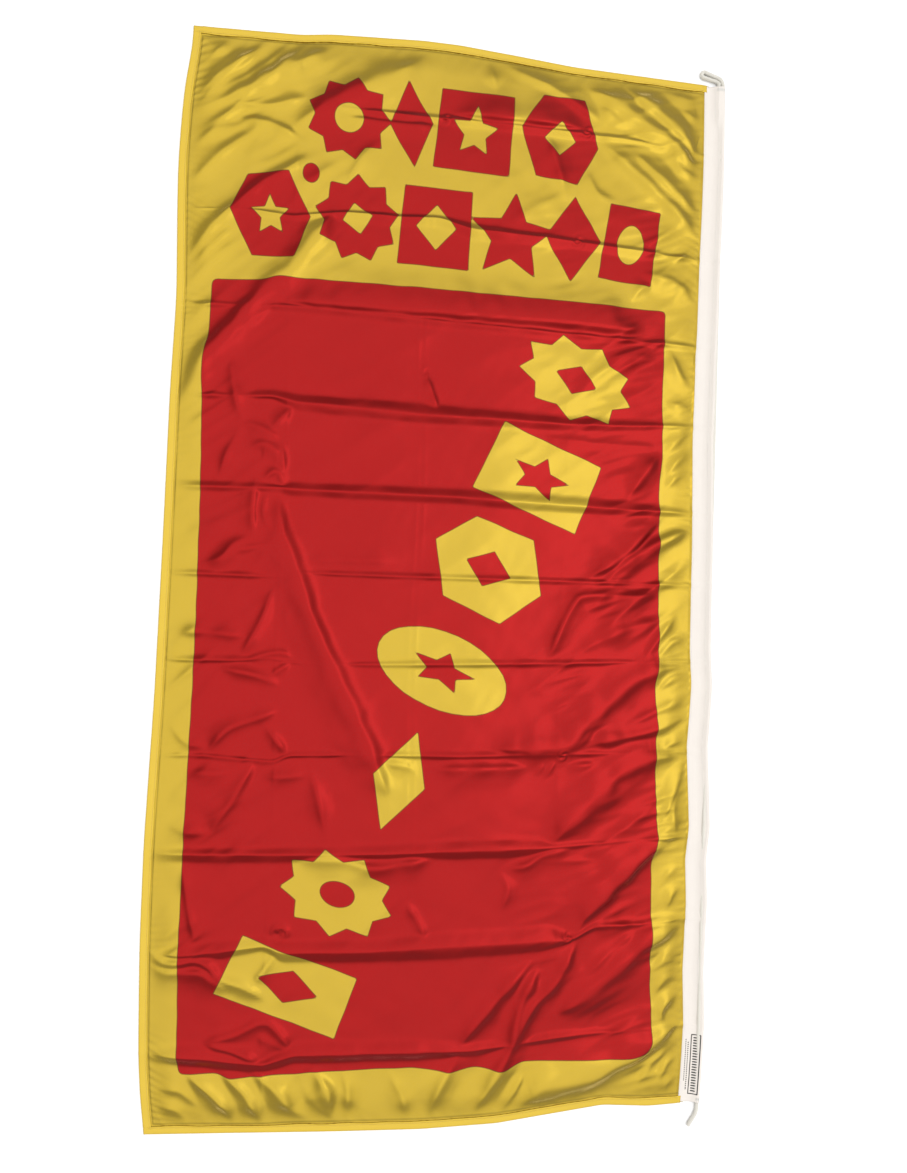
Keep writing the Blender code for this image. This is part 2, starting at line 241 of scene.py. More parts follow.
# Folds in the lying cloth: width of the left flank, of the right flank and height, then points along the
# ridge.
# Left and right are as seen by someone who walks along the points.
FOLDS = (
    # the corner between the fly and the top
    (10, 10, 5, (-350, 872), (-412, 822), (-454, 778)),
    (15, 20, 8, (-222, 894), (-322, 832), (-428, 766)),
    (24, 17, 9, (-74, 893), (-123, 853), (-203, 810), (-260, 770), (-296, 742)),
    (10, 8, 4, (-398, 772), (-330, 776), (-268, 798)),
    (5, 9, 4, (-384, 749), (-330, 744), (-276, 722)),
    (9, 9, 4, (-385, 738), (-420, 722), (-454, 698)),
    (11, 11, 5, (-368, 726), (-415, 680), (-458, 634)),
    (12, 11, 6, (-268, 700), (-305, 666), (-345, 640), (-400, 585), (-462, 506)),
    (8, 8, 4, (-382, 572), (-450, 496)),
    (7, 7, 3, (-398, 882), (-434, 846)),
    (9, 9, 3, (-292, 888), (-322, 862), (-358, 834)),
    (12, 12, 4, (-148, 738), (-180, 700), (-207, 648)),
    # above and below the top crease
    (12, 10, 4, (32, 892), (47, 840)),
    (24, 7, 9, (-30, 797), (60, 798), (130, 799), (212, 796)),
    (7, 9, 4, (-218, 768), (-120, 767), (-52, 770)),
    (12, 10, 5, (60, 893), (135, 864), (190, 835), (238, 810)),
    (10, 10, 4, (228, 840), (286, 802)),
    (12, 14, 8, (212, 866), (253, 851), (317, 813), (365, 788), (385, 768), (402, 756), (428, 754)),
    (14, 9, 8, (280, 878), (333, 842), (392, 795), (407, 778), (428, 782)),
    (13, 12, 7, (238, 774), (277, 743), (333, 700), (383, 657), (424, 620)),
    (13, 9, 7, (296, 760), (350, 717), (400, 677), (428, 660)),
    (8, 8, 4, (366, 790), (377, 750), (395, 735), (428, 727)),
    (9, 9, 4, (212, 720), (233, 683), (270, 672)),
    (11, 11, 5, (142, 776), (160, 720), (174, 674)),
    (11, 11, 5, (312, 550), (383, 535), (420, 500)),
    (8, 8, 4, (296, 496), (315, 522), (345, 534)),
    (9, 9, 4, (345, 880), (395, 872), (426, 876)),
    (9, 9, 4, (380, 850), (405, 838), (426, 842)),
    # the long wave down to the fly
    (16, 12, 10, (-220, 610), (-255, 555), (-290, 502), (-325, 472), (-352, 440), (-400, 376), (-428, 345),
     (-450, 300), (-464, 258)),
    (12, 10, 4, (-200, 580), (-240, 530), (-284, 488)),
    (26, 8, 10, (-306, 450), (-200, 451), (0, 452), (200, 452), (326, 447)),
    # star creases beside the first lengthways fold
    (12, 12, 5, (-383, 352), (-370, 280), (-357, 240)),
    (8, 8, 4, (-362, 244), (-325, 234), (-294, 216)),
    (6, 9, 4, (-272, 281), (-316, 229)),
    (10, 10, 5, (-346, 200), (-325, 209), (-303, 197), (-298, 163)),
    (9, 9, 4, (-360, 234), (-380, 195), (-393, 148)),
    (6, 7, 4, (-295, 218), (-289, 158)),
    (6, 6, 4, (-323, 152), (-300, 165), (-286, 136)),
    (7, 9, 5, (-334, 154), (-337, 100), (-332, 56)),
    (6, 8, 4, (-317, 132), (-318, 95), (-300, 58)),
    (9, 9, 5, (-418, 7), (-385, 20), (-365, 42), (-338, 57)),
    (5, 6, 4, (-370, 31), (-318, 43), (-291, 57)),
    (7, 7, 4, (-316, 46), (-295, 20), (-268, -2)),
    (10, 9, 5, (-294, -16), (-318, -85), (-347, -141)),
    (8, 8, 3, (-281, -36), (-270, -104)),
    (10, 10, 5, (-456, -102), (-400, -102), (-334, -108)),
    (7, 7, 4, (-344, -147), (-285, -132), (-258, -147)),
    (7, 8, 5, (-380, -160), (-320, -171), (-281, -187)),
    (5, 5, 4, (-302, -173), (-263, -145)),
    (8, 8, 5, (-394, -294), (-362, -258), (-315, -240), (-282, -226)),
    (6, 6, 4, (-307, -248), (-285, -276), (-265, -302)),
    (9, 9, 4, (-457, -252), (-430, -280), (-393, -291)),
    # the long fold through the middle
    (15, 20, 10, (-297, 126), (-288, 60), (-265, 5), (-235, -75), (-200, -150), (-150, -250), (-118, -325),
     (-98, -368)),
    (10, 8, 3, (-248, 22), (-170, 24), (-92, 26)),
    (5, 7, 4, (-60, 345), (-34, 278)),
    # between the heading and the middle creases
    (14, 14, 5, (202, 328), (250, 372), (300, 402), (348, 396)),
    (8, 8, 4, (370, 420), (388, 380), (416, 348)),
    (8, 10, 5, (370, 323), (400, 318), (427, 307)),
    (5, 5, 2, (150, 249), (250, 245), (352, 244)),
    (10, 13, 7, (362, 236), (340, 208), (300, 150)),
    (8, 8, 4, (427, 287), (398, 262), (365, 232)),
    (8, 8, 4, (427, 247), (395, 225), (370, 193)),
    (7, 7, 4, (427, 206), (395, 195), (368, 170)),
    (8, 15, 8, (364, 116), (340, 95), (290, 45), (236, 12)),
    (13, 9, 7, (427, 101), (372, 84), (325, 55), (285, 25), (266, 3)),
    (10, 9, 6, (368, -18), (300, -20), (232, -22), (212, -35), (190, -78), (170, -132)),
    (16, 14, 7, (368, -60), (300, -80), (226, -114)),
    (8, 8, 5, (397, -50), (368, -88), (336, -133)),
    (8, 7, 4, (427, -87), (390, -100), (360, -130)),
    (14, 20, 10, (408, -140), (360, -150), (315, -172), (270, -212), (230, -250), (205, -279), (150, -285),
     (74, -287)),
    (7, 7, 4, (427, -159), (390, -165), (363, -187)),
    (9, 9, 5, (427, -189), (395, -205), (345, -228), (298, -251)),
    (9, 14, 7, (424, -227), (352, -255), (262, -274), (232, -286)),
    (6, 6, 4, (257, -246), (213, -294)),
    (7, 7, 4, (427, -264), (395, -275), (370, -291)),
    (14, 20, 11, (410, -297), (360, -301), (310, -321), (268, -357), (220, -405), (184, -449)),
    (9, 9, 5, (420, -297), (408, -345), (380, -413)),
    (8, 8, 4, (427, -338), (402, -382), (407, -434)),
    # under the fourth crease from the bottom
    (9, 9, 4, (-430, -330), (-352, -330)),
    (9, 9, 4, (-308, -336), (-222, -334)),
    (8, 8, 4, (-118, -311), (-70, -318), (-53, -332)),
    (8, 14, 6, (-26, -322), (60, -321), (145, -318)),
    (6, 9, 4, (200, -315), (268, -312)),
    (5, 5, 3, (168, -338), (191, -299)),
    (5, 5, 3, (152, -332), (173, -303)),
    (9, 14, 6, (-318, -306), (-350, -370), (-388, -430)),
    (12, 10, 5, (-230, -320), (-212, -375), (-199, -434)),
    (10, 10, 4, (-456, -412), (-420, -425), (-376, -427)),
    # from the heading down to the third crease from the bottom
    (13, 24, 12, (388, -451), (367, -461), (333, -484), (293, -524), (247, -573), (232, -601)),
    (8, 14, 6, (-245, -474), (-180, -472), (-120, -486), (-70, -480), (-15, -472)),
    (7, 9, 5, (103, -489), (140, -484), (170, -467), (220, -457)),
    (8, 8, 4, (96, -498), (110, -525), (99, -562)),
    (4, 4, 2, (155, -478), (290, -478)),
    (7, 7, 3, (427, -489), (400, -498), (383, -522)),
    (7, 7, 4, (427, -519), (405, -535), (393, -563)),
    (9, 7, 4, (-426, -478), (-415, -540), (-401, -604)),
    (6, 6, 4, (-64, -543), (-45, -570), (-26, -605)),
    (5, 6, 4, (-287, -594), (-272, -580), (-257, -588), (-263, -603)),
    (6, 8, 5, (254, -588), (310, -588), (368, -588)),
    # the lower fly corner
    (7, 9, 6, (-478, -612), (-450, -634), (-400, -632), (-378, -642), (-362, -660), (-320, -676),
     (-286, -698)),
    (6, 12, 6, (-478, -634), (-450, -648), (-395, -650), (-372, -664), (-342, -682)),
    (8, 6, 4, (-269, -618), (-292, -650), (-314, -679)),
    (7, 8, 5, (-388, -764), (-335, -751), (-290, -733), (-262, -752), (-240, -786)),
    (7, 9, 6, (-388, -763), (-350, -773), (-320, -784), (-286, -799)),
    (5, 5, 3, (-302, -754), (-268, -770), (-238, -787)),
    (8, 8, 4, (-455, -834), (-418, -838), (-388, -864)),
    (8, 8, 4, (-458, -860), (-425, -868), (-403, -890)),
    (10, 10, 7, (-408, -810), (-372, -840), (-345, -868), (-330, -893)),
    (11, 10, 7, (-353, -813), (-318, -842), (-298, -875), (-286, -895)),
    (10, 13, 7, (-303, -813), (-262, -845), (-240, -875), (-212, -895)),
    (9, 13, 8, (-207, -812), (-182, -850), (-176, -896)),
    (9, 9, 4, (-159, -815), (-148, -850), (-150, -896)),
    (10, 10, 4, (-82, -822), (-60, -860), (-44, -908)),
    # the fan above the bottom hem
    (9, 13, 7, (234, -614), (197, -683), (160, -722), (140, -762), (133, -793)),
    (13, 13, 8, (158, -645), (100, -704), (57, -754), (34, -788)),
    (12, 13, 8, (170, -656), (145, -702), (133, -743), (126, -785), (100, -833), (64, -896)),
    (16, 14, 10, (428, -588), (367, -612), (333, -640), (283, -681), (233, -718), (202, -737)),
    (9, 9, 4, (348, -590), (300, -628), (242, -681)),
    (14, 24, 12, (428, -756), (367, -793), (300, -828), (233, -857), (160, -881), (134, -899)),
    (12, 12, 6, (39, -794), (15, -830), (0, -860), (-16, -904)),
    (8, 8, 4, (152, -827), (128, -870), (108, -903)),
    (9, 9, 4, (402, -798), (372, -830), (348, -864)),
    (7, 7, 4, (428, -813), (400, -830), (387, -857)),
    (6, 6, 3, (428, -848), (405, -862), (398, -882)),
    (8, 8, 4, (427, -675), (392, -684), (373, -714)),
    (9, 9, 4, (428, -623), (395, -640), (373, -667)),
    (8, 8, 5, (428, -710), (400, -722), (388, -745), (402, -766)),
)
# Places where several folds pinch together into a small curl.
PINCHES = ((-39, 785), (211, 790), (200, 597), (199, -297), (218, -607), (-60, 349), (-268, -590))


def soft_path(points):
    """A smooth curve through the points, as an array with six steps a span."""
    points = np.array(points, float)
    if len(points) == 2:
        return points
    padded = np.vstack([2 * points[0] - points[1], points, 2 * points[-1] - points[-2]])
    t = np.linspace(0, 1, 7)[:-1, None]
    spans = []
    for before, start, end, after in zip(padded, padded[1:], padded[2:], padded[3:]):
        bend = 2 * before - 5 * start + 4 * end - after
        twist = 3 * start - before - 3 * end + after
        spans.append(0.5 * (2 * start + (end - before) * t + bend * t ** 2 + twist * t ** 3))
    return np.vstack(spans + [points[-1:]])


def along_path(x, y, path):
    """Distance from the path, positive on its left, and how far along it the nearest point is."""
    best = np.full(x.shape, 1e9)
    side = np.zeros_like(x)
    along = np.zeros_like(x)
    lengths = np.hypot(*np.diff(path, axis=0).T)
    walked = 0.0
    for start, end, length in zip(path, path[1:], lengths):
        direction = (end - start) / length
        run = np.clip((x - start[0]) * direction[0] + (y - start[1]) * direction[1], 0, length)
        off_x = x - start[0] - run * direction[0]
        off_y = y - start[1] - run * direction[1]
        distance = np.hypot(off_x, off_y)
        nearer = distance < best
        best = np.where(nearer, distance, best)
        side = np.where(nearer, direction[0] * off_y - direction[1] * off_x, side)
        along = np.where(nearer, walked + run, along)
        walked += length
    return best * np.sign(side), along


def tent(distance, left, right, crest, foot):
    """Cross-section of a fold, from 1 at its ridge to 0 past its flanks, with a rounded crest and foot."""
    rounded = np.hypot(distance, crest) - crest
    flank = np.maximum(np.where(distance > 0, left, right), 0.5)
    rise = 1 - rounded / flank
    softness = np.minimum(foot / flank, 0.35)
    return np.clip(0.5 * (rise + np.sqrt(rise ** 2 + softness ** 2)) - 0.12 * softness, 0, None)


def ridge(distance, left, right, crest):
    """Cross-section of a soft fold: rounded at its ridge, steepest beside it, running out gently."""
    rounded = np.hypot(distance, crest) - crest
    flank = np.where(distance > 0, left, right)
    return np.exp(-((rounded / flank) ** 1.1))


def fold_heights(x, y):
    """Cubes of the fold heights, added up, so that crossing folds merge instead of stacking."""
    total = np.zeros_like(x)
    for number, (left, right, height, *points) in enumerate(FOLDS):
        path = soft_path(points)
        leaning = min(max((left / right) * (1.35 if number % 2 else 0.74), 0.65), 1.5)
        left, right = left * leaning ** 0.6, right / leaning ** 0.6
        taper = 0.5 * (left + right)
        reach = 3.0 * max(left, right)
        low, high = path.min(axis=0) - reach, path.max(axis=0) + reach
        near = (x > low[0]) & (x < high[0]) & (y > low[1]) & (y < high[1])
        distance, along = along_path(x[near], y[near], path)
        length = np.hypot(*np.diff(path, axis=0).T).sum()
        from_end = np.minimum(along, length - along)
        ends = fade(from_end, -0.6 * taper, min(4.0 * taper, 0.5 * length))
        vary = 1 + 0.2 * ripples(along, along * 0, 60, 0, 10, number + 300)
        shape = ridge(distance, left * (0.4 + 0.6 * ends), right * (0.4 + 0.6 * ends), 1.8 + 0.08 * taper)
        skirt = 1 - fade(np.abs(distance), 1.4 * max(left, right), 3.0 * max(left, right))
        total[near] += (0.74 * height ** 1.3 * vary * shape * skirt * ends) ** 3
    return total


def crease_heights(x, y):
    """Cubes of the heights of the storage creases, added up."""
    total = np.zeros_like(x)
    for index, (_, line) in enumerate(CREASES):
        upper = smooth_between([(point[0], point[2]) for point in line], x, 6.0)
        lower = smooth_between([(point[0], point[3]) for point in line], x, 6.0)
        distance = y - row_line(index + 1, x)
        wander = 1 + 0.12 * ripples(x, x * 0, 70, 0, 10, 40 + index)
        height = np.minimum(0.30 * (upper + lower) * wander, 9.5)
        total += (height * tent(distance, upper + 0.5, lower + 0.5, 1.5, 3.2)) ** 3
    return total


LENGTHWAYS_FOLDS = ((-288, 1.0, 4), (-70, 0.9, 3), (-58, 0.8, 3), (190, 0.4, 4))


def lengthways_heights(x, y):
    total = np.zeros_like(x)
    for place, height, width in LENGTHWAYS_FOLDS:
        distance = x - place - 3 * np.sin(y / 90)
        strength = 0.5 + 0.5 * ripples(x * 0, y, 260, 90, 5, int(place) + 900)
        total += height * np.clip(strength, 0, 1) * np.exp(-np.abs(distance) / width)
    return total


def pinch_heights(x, y):
    total = np.zeros_like(x)
    for at_x, at_y in PINCHES:
        away = np.hypot(x - at_x, y - at_y)
        turn = np.arctan2(y - at_y, x - at_x)
        total += 1.8 * np.exp(-((away / 9) ** 2)) * np.sin(away / 1.7 + 2 * turn)
    return total


def gathers(run, wavelength, seed):
    """Narrow ridges along a row of stitches, with soft troughs between them."""
    return 0.55 - np.sqrt(ripples(run * 0, run, wavelength, 90, 3, seed) ** 2 + 0.01)


def pucker_heights(x, y, u, v):
    """Small slanting gathers that the hem and seam stitches pull into the cloth."""
    from_fly = np.clip(u - FLY - HEM, 0, None)
    from_seam = np.clip(SEAM - u, 0, None)
    from_end = np.clip(HALF - HEM - np.abs(v), 0, None)
    slant = 0.9 * ripples(x * 0, y, 420, 90, 5, 8)
    fly = gathers(y + slant * from_fly, 26, 3) * np.exp(-from_fly / 17) * fade(from_fly, 0, 4)
    seam = gathers(y - slant * from_seam, 24, 4) * np.exp(-from_seam / 19) * fade(from_seam, 0.5, 5)
    end = gathers(x + 0.6 * from_end, 54, 5) * np.exp(-from_end / 16) * fade(from_end, 0, 5)
    some_fly = np.clip(0.65 + 0.5 * ripples(x * 0, y, 230, 90, 5, 6), 0, 1.2)
    some_seam = np.clip(0.75 + 0.4 * ripples(x * 0, y, 190, 90, 5, 7), 0, 1.2)
    return 1.5 * fly * some_fly + 2.0 * seam * some_seam + 0.8 * end


def heading_lift(v):
    """How far the heading is lifted off the floor: a slight bow between creases and a kink at each."""
    _, y = lay(SEAM, v)
    creases = np.cbrt(crease_heights(np.full_like(y, SEAM - 12.0), y))
    section = np.clip(np.searchsorted(ROW_PLACES, v, side="right") - 1, 0, len(ROW_PLACES) - 2)
    low = np.array(ROW_PLACES)[section]
    high = np.array(ROW_PLACES)[section + 1]
    part = (v - low) / (high - low)
    bow = np.array([1.4, 0.3, 1.9, 0.8, 2.1, 0.6, 1.6, 0.9, 1.8, 0.5, 1.5, 0.4])[section]
    return bow * 4 * part * (1 - part) + 0.4 * creases + 0.1


def drawn(x, y, wavelength, direction, spread, seed):
    """Soft troughs that meet in narrow ridges, like cloth drawn tight from one side."""
    return 0.6 - np.sqrt(ripples(x, y, wavelength, direction, spread, seed) ** 2 + 0.006)


def streak_heights(x, y):
    """Shallow drag lines that run from the heading and the fly down to the left, and fan out below."""
    right = fade(x, 40, 330)
    upper_left = fade(-x, 60, 330) * fade(y, 380, 620)
    middle_left = fade(-x, 220, 420) * (1 - fade(y, 380, 620)) * fade(y, -780, -600)
    lower_left = fade(-y, 780, 850) * fade(-x, 40, 200)
    falling = drawn(x, y, 92, 118, 14, 51) + 0.5 * drawn(x, y, 50, 112, 18, 52)
    rising = drawn(x, y, 88, 132, 12, 53) + 0.5 * drawn(x, y, 48, 128, 16, 54)
    crossing = drawn(x, y, 80, 55, 16, 55)
    anywhere = drawn(x, y, 130, 122, 30, 57)
    patches = np.clip(0.55 + 0.6 * ripples(x, y, 210, 0, 90, 56), 0.05, 1.2)
    total = 4.3 * right * falling + 3.8 * upper_left * rising + 2.8 * middle_left * rising
    return patches * (total + 2.6 * lower_left * crossing + 2.0 * anywhere)


HIGHEST_FOLD = 13.5
# How far in from a hem, and from the seam, the cloth needs to rise to its own height.
RISE_LENGTH = 42.0


def cloth_height(u, v, x, y):
    """Height of the cloth's top face above the floor."""
    swell = 1.6 * (1 + ripples(x, y, 240, 60, 70, 11)) + 0.7 * (1 + ripples(x, y, 120, 30, 80, 12))
    calm = np.clip(0.5 + 0.5 * ripples(x, y, 300, 45, 90, 13), 0, 1)
    fine = 0.34 * ripples(x, y, 42, 35, 40, 14) + 0.16 * ripples(x, y, 23, 120, 50, 15)
    z = np.cbrt(fold_heights(x, y) + crease_heights(x, y))
    z = z + 0.9 * swell + fine * calm + lengthways_heights(x, y) + pinch_heights(x, y)
    z = z + streak_heights(x, y)
    from_edge = np.minimum(u - FLY, HALF - np.abs(v))
    z = 0.5 * (z + np.sqrt(z ** 2 + 2.5))
    z = z / (1 + (z / HIGHEST_FOLD) ** 5) ** 0.2
    z = z * (0.08 + 0.92 * fade(from_edge, HEM - 6, HEM + RISE_LENGTH))
    groove = 0.9 * np.exp(-(((from_edge - HEM - 1.2) / 1.3) ** 2))
    rest = FLOOR_GAP + 0.6
    row_lift = np.interp(v, HEADING_PLACES, HEADING_LIFTS)
    free = fade(SEAM - u, -6, RISE_LENGTH)
    lying = (z + rest) * free + (0.9 + row_lift) * (1 - free)
    return np.maximum(lying + pucker_heights(x, y, u, v) - groove, FLOOR_GAP)


HEADING_PLACES = np.arange(-HALF, HALF + 0.5, 0.5)
HEADING_LIFTS = heading_lift(HEADING_PLACES)


def surface(u, v, lift=0.0):
    """Points in metres on the lying cloth, raised by lift millimetres."""
    x, y = lay(u, v)
    u, v = np.broadcast_arrays(np.asarray(u, float), np.asarray(v, float))
    z = cloth_height(u, v, x, y) + lift
    return np.stack([x, y, z], axis=-1) * MM


# ------------------------------------------------------------------ the print

PANEL = ((-416, 477), (-330, 481), (-312, 488), (-40, 490), (363, 486), (361, 350), (364, 220), (360, 190),
         (364, 0), (367, -130), (361, -172), (368, -250), (365, -300), (371, -400), (375, -440), (364, -482),
         (367, -590), (365, -645), (371, -760), (372, -792), (362, -807), (337, -814), (143, -815),
         (114, -828),
         (59, -820), (23, -827), (-44, -817), (-213, -818), (-342, -821), (-361, -812), (-419, -812),
         (-424, -780), (-428, -620), (-426, -400), (-421, -120), (-422, 130), (-427, 345), (-419, 380))
BLOCK = ((-1, -1), (1, -0.94), (0.94, 1), (-0.97, 0.93))
LOZENGE = ((0.06, -1), (1, 0.03), (-0.05, 1), (-1, -0.04))
HEXAGON = ((-1, 0.1), (-0.5, -0.95), (0.56, -1), (1, -0.04), (0.5, 1), (-0.54, 0.94))


def rayed(points, inner, turn=0.0):
    """A star with its points at radius 1 and its notches at the inner radius, or a disc when that is 1."""
    steps = range(2 * points)
    radii = [1.0 if step % 2 == 0 else inner for step in steps]
    angles = [math.radians(turn) + math.pi * step / points for step in steps]
    return tuple((r * math.cos(a), r * math.sin(a)) for r, a in zip(radii, angles))


DISC = rayed(16, 1.0)
STAR = rayed(5, 0.48, 90)
SUN = rayed(9, 0.78)
# Plain marks: (outline, middle x, middle y, width, height, tilt in degrees, cut-out, cut-out size).
RED_MARKS = (
    (SUN, -203, 767, 144, 140, 0, DISC, 0.34),
    (LOZENGE, -98, 770, 74, 146, 4, None, 0),
    (BLOCK, 12, 768, 132, 142, -4, STAR, 0.62),
    (HEXAGON, 162, 773, 140, 148, -5, LOZENGE, 0.4),
    (HEXAGON, -327, 592, 130, 144, 4, STAR, 0.5),
    (DISC, -263, 668, 28, 34, 0, None, 0),
    (SUN, -184, 600, 142, 150, 10, LOZENGE, 0.36),
    (BLOCK, -50, 597, 122, 140, -3, LOZENGE, 0.56),
    (STAR, 82, 592, 156, 156, -4, None, 0),
    (LOZENGE, 190, 600, 100, 148, -4, None, 0),
    (BLOCK, 294, 598, 96, 138, -8, DISC, 0.5),
)
YELLOW_MARKS = (
    (SUN, 204, 353, 216, 140, -23, LOZENGE, 0.36),
    (BLOCK, 143, 179, 196, 130, -23, STAR, 0.56),
    (HEXAGON, 59, 19, 206, 156, -23, LOZENGE, 0.4),
    (DISC, -14, -157, 236, 128, -23, STAR, 0.5),
    (LOZENGE, -81, -342, 92, 172, -21, None, 0),
    (SUN, -177, -529, 198, 138, -23, DISC, 0.3),
    (BLOCK, -252, -678, 212, 106, -23, LOZENGE, 0.5),
)


# Distances to print are only worked out this near to it.
INK_REACH = 25.0


def signed_distance(x, y, outline):
    """Distance to a closed outline, negative inside it."""
    outline = np.array(outline, float)
    low, high = outline.min(axis=0) - INK_REACH, outline.max(axis=0) + INK_REACH
    result = np.full(x.shape, INK_REACH)
    near = (x > low[0]) & (x < high[0]) & (y > low[1]) & (y < high[1])
    px, py = x[near], y[near]
    nearest = np.full(px.shape, 1e9)
    inside = np.zeros(px.shape, bool)
    for (ax, ay), (bx, by) in zip(outline, np.roll(outline, -1, axis=0)):
        ex, ey = bx - ax, by - ay
        run = np.clip(((px - ax) * ex + (py - ay) * ey) / (ex * ex + ey * ey), 0, 1)
        nearest = np.minimum(nearest, np.hypot(px - ax - run * ex, py - ay - run * ey))
        crosses = (ay > py) != (by > py)
        slope_x = ax + (py - ay) * ex / np.where(ey == 0, 1e-9, ey)
        inside ^= crosses & (px < slope_x)
    result[near] = np.where(inside, -nearest, nearest)
    return result


def softened(outline, radius=4):
    """The outline with evenly spaced points and its corners rounded off."""
    spaced = []
    for start, end in zip(np.array(outline, float), np.roll(np.array(outline, float), -1, axis=0)):
        steps = max(1, int(np.hypot(*(end - start)) / 3.0))
        spaced += [start + (end - start) * step / steps for step in range(steps)]
    spaced = np.array(spaced)
    shifts = range(-radius, radius + 1)
    weights = [math.exp(-2.0 * (shift / radius) ** 2) for shift in shifts]
    total = sum(weight * np.roll(spaced, shift, axis=0) for weight, shift in zip(weights, shifts))
    return total / sum(weights)


def placed(outline, x, y, width, height, tilt, size=1.0):
    cos, sin = math.cos(math.radians(tilt)), math.sin(math.radians(tilt))
    points = []
    for px, py in outline:
        across, up = px * width / 2 * size, py * height / 2 * size
        points.append((x + across * cos - up * sin, y + across * sin + up * cos))
    return points


def marks_distance(x, y, marks):
    total = np.full(x.shape, INK_REACH)
    for outline, at_x, at_y, width, height, tilt, cut, size in marks:
        mark = signed_distance(x, y, placed(outline, at_x, at_y, width, height, tilt))
        if cut:
            hole = signed_distance(x, y, placed(cut, at_x, at_y, width, height, tilt, size))
            mark = np.maximum(mark, -hole)
        total = np.minimum(total, mark)
    return total


def red_ink(x, y):
    """Millimetres from the edge of the red print, negative where the cloth is red."""
    wobble = 0.5 * ripples(x, y, 60, 45, 90, 21)
    panel = np.maximum(signed_distance(x, y, softened(PANEL)), -marks_distance(x, y, YELLOW_MARKS))
    return np.minimum(panel, marks_distance(x, y, RED_MARKS)) + wobble


# ------------------------------------------------------------------ materials

def new_material(name, colour, roughness):
    material = bpy.data.materials.new(name)
    material.use_nodes = True
    tree = material.node_tree
    shader = tree.nodes["Principled BSDF"]
    shader.inputs["Base Color"].default_value = (*colour, 1)
    shader.inputs["Roughness"].default_value = roughness
    return material, tree, shader


def feed(tree, socket, value):
    """Link another node's output to the socket, or set the socket's own value."""
    if isinstance(value, bpy.types.NodeSocket):
        tree.links.new(value, socket)
    else:
        socket.default_value = value


def add_node(tree, kind, settings=(), **inputs):
    """A node with its settings, and its inputs set by name or linked from another node's output."""
    node = tree.nodes.new(kind)
    for key, value in settings:
        setattr(node, key, value)
    for key, value in inputs.items():
        feed(tree, node.inputs[key.replace("_", " ")], value)
    return node


def remap(tree, value, to_low, to_high, from_low=0.0, from_high=1.0):
    """A value carried from one range to another and held at its ends."""
    node = add_node(tree, "ShaderNodeMapRange", Value=value, From_Min=from_low, From_Max=from_high,
                    To_Min=to_low, To_Max=to_high)
    return node.outputs["Result"]


def calculate(tree, operation, *values):
    """The result of a math node."""
    node = add_node(tree, "ShaderNodeMath", (("operation", operation),))
    for socket, value in zip(node.inputs, values):
        feed(tree, socket, value)
    return node.outputs[0]


def scaled(tree, colour, factor):
    """A colour made lighter or darker by a factor."""
    node = add_node(tree, "ShaderNodeVectorMath", (("operation", "SCALE"),))
    feed(tree, node.inputs[0], colour)
    feed(tree, node.inputs["Scale"], factor)
    return node.outputs["Vector"]


def mix_colour(tree, share, first, second, blend="MIX"):
    node = tree.nodes.new("ShaderNodeMix")
    node.data_type = "RGBA"
    node.blend_type = blend
    for index, value in ((0, share), (6, first), (7, second)):
        feed(tree, node.inputs[index], value)
    return node.outputs[2]


def bump(tree, height, strength, distance, under=None):
    node = add_node(tree, "ShaderNodeBump", Strength=strength, Distance=distance, Height=height)
    if under is not None:
        tree.links.new(under, node.inputs["Normal"])
    return node.outputs["Normal"]


def wave(tree, vector, scale, direction, profile="SIN"):
    node = add_node(
        tree, "ShaderNodeTexWave",
        (("wave_type", "BANDS"), ("bands_direction", direction), ("wave_profile", profile)),
        Vector=vector, Scale=scale,
    )
    return node.outputs["Fac"]


YELLOW = (0.448, 0.304, 0.018, 1)
YELLOW_DEEP = (0.410, 0.272, 0.013, 1)
RED = (0.305, 0.0018, 0.0018, 1)
RED_DEEP = (0.280, 0.0016, 0.0018, 1)
WAVE_PERIOD = math.pi / 10
# Spacing of the satin's threads and courses, and of the canvas's yarns, in metres.
THREAD_SPACING = 0.0006
COURSE_SPACING = 0.0009
CANVAS_YARN = 0.0011
# White gloss over bare cloth and over ink.
BARE_GLAZE = 0.42
INKED_GLAZE = 0.17


